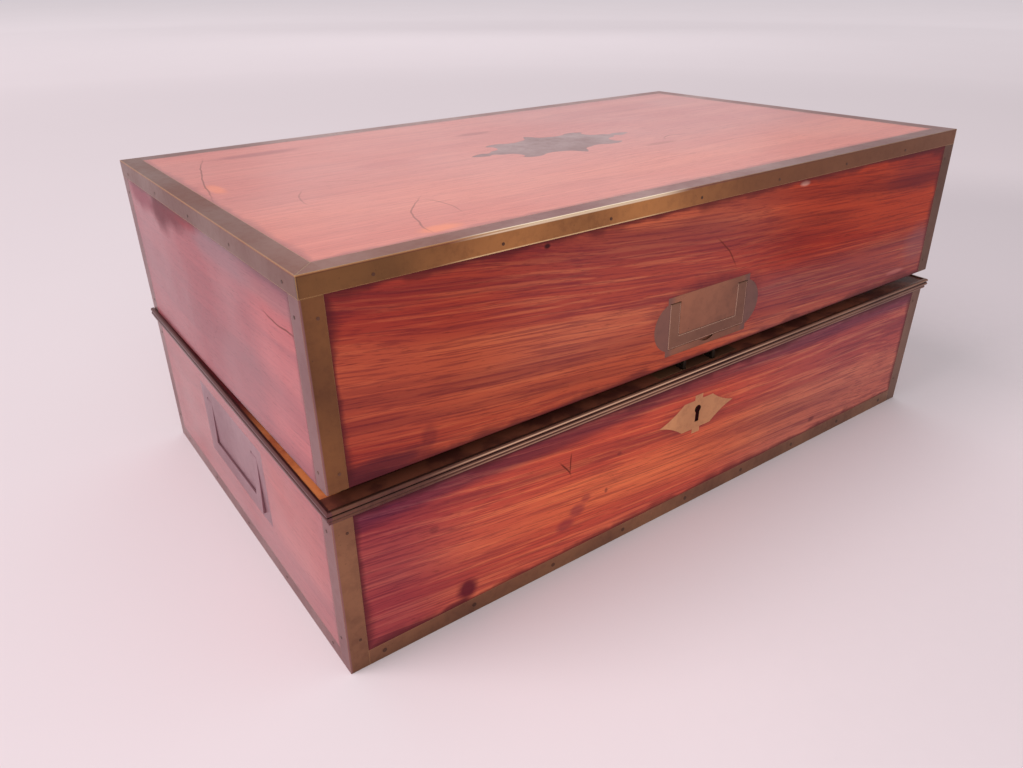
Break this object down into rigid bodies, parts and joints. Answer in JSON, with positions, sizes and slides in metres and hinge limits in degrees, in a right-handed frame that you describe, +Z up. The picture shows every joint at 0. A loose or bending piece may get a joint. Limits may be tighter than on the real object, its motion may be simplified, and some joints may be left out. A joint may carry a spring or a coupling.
{
  "type": "letter writing box with drawer",
  "caption": "Brass-bound mahogany writing box, lid hinged at the back and ajar, flush handles, end drawer, pen tray, ink bottles and a leather writing flap inside.",
  "frame": {"origin": "under the middle of the case, on the surface that it stands on", "axes": "+X to the end with the drawer, +Y to the hinges at the back, +Z up"},
  "size_m": [0.5054, 0.3019, 0.2185],
  "materials": {
    "mahogany": "french polished, reddish",
    "inside_mahogany": "waxed",
    "brass": "aged, dull lacquer",
    "writing_leather": "smooth skiver",
    "lining_leather": "matt",
    "bottle_glass": "clear"
  },
  "bodies": {
    "base": {"base_front_board": "mahogany", "base_back_board": "mahogany", "base_left_board": "mahogany", "base_right_board": "mahogany", "base_bottom_board": "mahogany", "compartment_floor": "inside_mahogany", "long_divider": "inside_mahogany", "ink_dividers": "inside_mahogany", "tray_ledges": "inside_mahogany", "base_corner_strap_front_left": "brass", "base_corner_strap_front_right": "brass", "base_corner_strap_back_left": "brass", "base_corner_strap_back_right": "brass", "foot_straps": "brass", "rim_moulding": "brass", "key_escutcheon": "brass", "lock_case": "brass", "left_handle_plate": "brass", "base_hinge_leaves": "brass", "hinge_pins": "brass"},
    "lid": {"lid_front_board": "mahogany", "lid_back_board": "mahogany", "lid_left_board": "mahogany", "lid_right_board": "mahogany", "lid_top_board": "mahogany", "lid_corner_strap_front_left": "brass", "lid_corner_strap_front_right": "brass", "lid_corner_strap_back_left": "brass", "lid_corner_strap_back_right": "brass", "lid_top_straps": "brass", "top_cartouche": "brass", "lid_handle_plate": "brass", "lock_link_plate": "brass", "lid_hinge_leaves": "brass", "lid_lining": "lining_leather"},
    "lid_handle": {"lid_handle_bail": "brass"},
    "left_handle": {"left_handle_bail": "brass"},
    "drawer": {"drawer_front": "mahogany", "drawer_side_front": "inside_mahogany", "drawer_side_back": "inside_mahogany", "drawer_back": "inside_mahogany", "drawer_bottom": "inside_mahogany", "drawer_handle_plate": "brass"},
    "drawer_handle": {"drawer_handle_bail": "brass"},
    "drawer_pin": {"drawer_pin": "brass"},
    "lock_bolt": {"lock_bolt": "brass"},
    "writing_flap": {"flap_board": "inside_mahogany", "flap_leather": "writing_leather", "flap_pivots": "brass"},
    "pen_tray": {"pen_tray": "inside_mahogany"},
    "ink_bottle_left": {"ink_bottle_left": "bottle_glass"},
    "ink_bottle_right": {"ink_bottle_right": "bottle_glass"},
    "ink_cap_left": {"ink_cap_left": "brass"},
    "ink_cap_right": {"ink_cap_right": "brass"}
  },
  "joints": [
    {"name": "lid_hinge", "type": "hinge", "parent": "base", "child": "lid", "pos_m": [0, 0.149, 0.105], "axis": [-1, 0, 0], "range_deg": [-1.64, 178.36]},
    {"name": "lid_handle_hinge", "type": "hinge", "parent": "lid", "child": "lid_handle", "pos_m": [0, -0.14558, 0.15185], "axis": [-1, 0, 0], "range_deg": [0, 90]},
    {"name": "left_handle_hinge", "type": "hinge", "parent": "base", "child": "left_handle", "pos_m": [-0.2482, 0, 0.077], "axis": [0, 1, 0], "range_deg": [-2.3, 87.7]},
    {"name": "drawer_slide", "type": "slide", "parent": "base", "child": "drawer", "axis": [1, 0, 0], "range_m": [0, 0.42]},
    {"name": "drawer_handle_hinge", "type": "hinge", "parent": "drawer", "child": "drawer_handle", "pos_m": [0.2482, 0, 0.077], "axis": [0, -1, 0], "range_deg": [0, 90]},
    {"name": "drawer_pin_slide", "type": "slide", "parent": "base", "child": "drawer_pin", "axis": [0, 0, 1], "range_m": [-0.01, 0]},
    {"name": "lock_bolt_slide", "type": "slide", "parent": "base", "child": "lock_bolt", "axis": [1, 0, 0], "range_m": [0, 0.006]},
    {"name": "flap_hinge", "type": "hinge", "parent": "base", "child": "writing_flap", "pos_m": [-0.0045, 0.132, 0.099], "axis": [-1, 0, 0], "range_deg": [0, 26]},
    {"name": "pen_tray_lift", "type": "slide", "parent": "base", "child": "pen_tray", "axis": [0, 0, 1], "range_m": [0, 0.06]},
    {"name": "left_bottle_lift", "type": "slide", "parent": "base", "child": "ink_bottle_left", "axis": [0, 0, 1], "range_m": [0, 0.06]},
    {"name": "right_bottle_lift", "type": "slide", "parent": "base", "child": "ink_bottle_right", "axis": [0, 0, 1], "range_m": [0, 0.06]},
    {"name": "left_cap_lift", "type": "slide", "parent": "ink_bottle_left", "child": "ink_cap_left", "axis": [0, 0, 1], "range_m": [0, 0.03]},
    {"name": "right_cap_lift", "type": "slide", "parent": "ink_bottle_right", "child": "ink_cap_right", "axis": [0, 0, 1], "range_m": [0, 0.03]}
  ]
}
